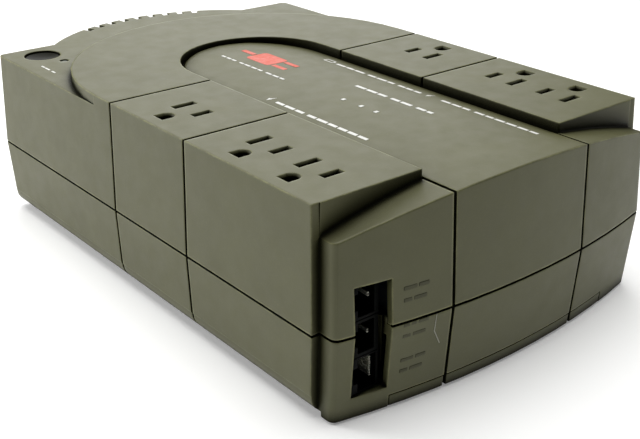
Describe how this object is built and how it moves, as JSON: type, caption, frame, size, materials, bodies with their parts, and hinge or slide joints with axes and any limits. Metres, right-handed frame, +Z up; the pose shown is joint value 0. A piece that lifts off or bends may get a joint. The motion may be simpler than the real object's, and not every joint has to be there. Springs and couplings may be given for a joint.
{
  "type": "uninterruptible power supply",
  "caption": "Low moulded power supply brick with mains outlets on raised side rows, a sunken middle panel, stacked ports, an end vent, a power button and a sliding battery door.",
  "frame": {"origin": "middle of the base on the floor, at the centre of the outer box", "axes": "+X across the width towards the outlet row on the right when the ports face the viewer, +Y along the length from the port end to the vented end, +Z up"},
  "size_m": [0.1686, 0.2778, 0.0806],
  "materials": {
    "shell": "satin",
    "door": "satin",
    "button": "satin",
    "lens": "gloss",
    "dark": "satin",
    "insulator": "matte",
    "brass": "satin",
    "gold": "polished",
    "battery": "matte",
    "lead": "satin",
    "steel": "satin",
    "copper": "satin",
    "board": "satin",
    "relay": "satin",
    "rubber": "matte"
  },
  "bodies": {
    "housing": {"top_cover": "shell", "bottom_cover": "shell", "power_switch": "dark", "button_board": "board", "status_light": "lens", "breaker_body": "dark", "cord_gland": "rubber", "jack_board": "board", "phone_jack_in": "dark", "phone_jack_in_contacts": "gold", "phone_jack_out": "dark", "phone_jack_out_contacts": "gold", "data_port": "dark", "data_port_contacts": "gold", "left_outlet_carrier": "insulator", "left_line_bus": "brass", "left_neutral_bus": "brass", "left_ground_bus": "brass", "right_outlet_carrier": "insulator", "right_line_bus": "brass", "right_neutral_bus": "brass", "right_ground_bus": "brass", "battery": "battery", "battery_terminal_left": "lead", "battery_terminal_right": "lead", "transformer_core": "steel", "transformer_coil": "copper", "transformer_strap": "steel", "main_board": "board", "heat_sink": "steel", "transistor_1": "dark", "transistor_2": "dark", "transistor_3": "dark", "transistor_4": "dark", "relay_1": "relay", "capacitor_1": "dark", "relay_2": "relay", "capacitor_2": "dark", "buzzer": "dark", "cover_screw_1": "steel", "cover_screw_2": "steel", "cover_screw_3": "steel", "cover_screw_4": "steel", "foot_1": "rubber", "foot_2": "rubber", "foot_3": "rubber", "foot_4": "rubber"},
    "power_button_cap": {"power_button": "button"},
    "breaker_plunger": {"breaker_button": "dark"},
    "battery_cover": {"battery_door": "door"}
  },
  "joints": [
    {"name": "power_button_press", "type": "slide", "parent": "housing", "child": "power_button_cap", "axis": [0, 0, -1], "range_m": [0, 0.0014], "stiffness_N_per_m": 900},
    {"name": "breaker_trip", "type": "slide", "parent": "housing", "child": "breaker_plunger", "axis": [0, 1, 0], "range_m": [0, 0.003]},
    {"name": "battery_door_slide", "type": "slide", "parent": "housing", "child": "battery_cover", "axis": [0, -1, 0], "range_m": [0, 0.15]}
  ]
}
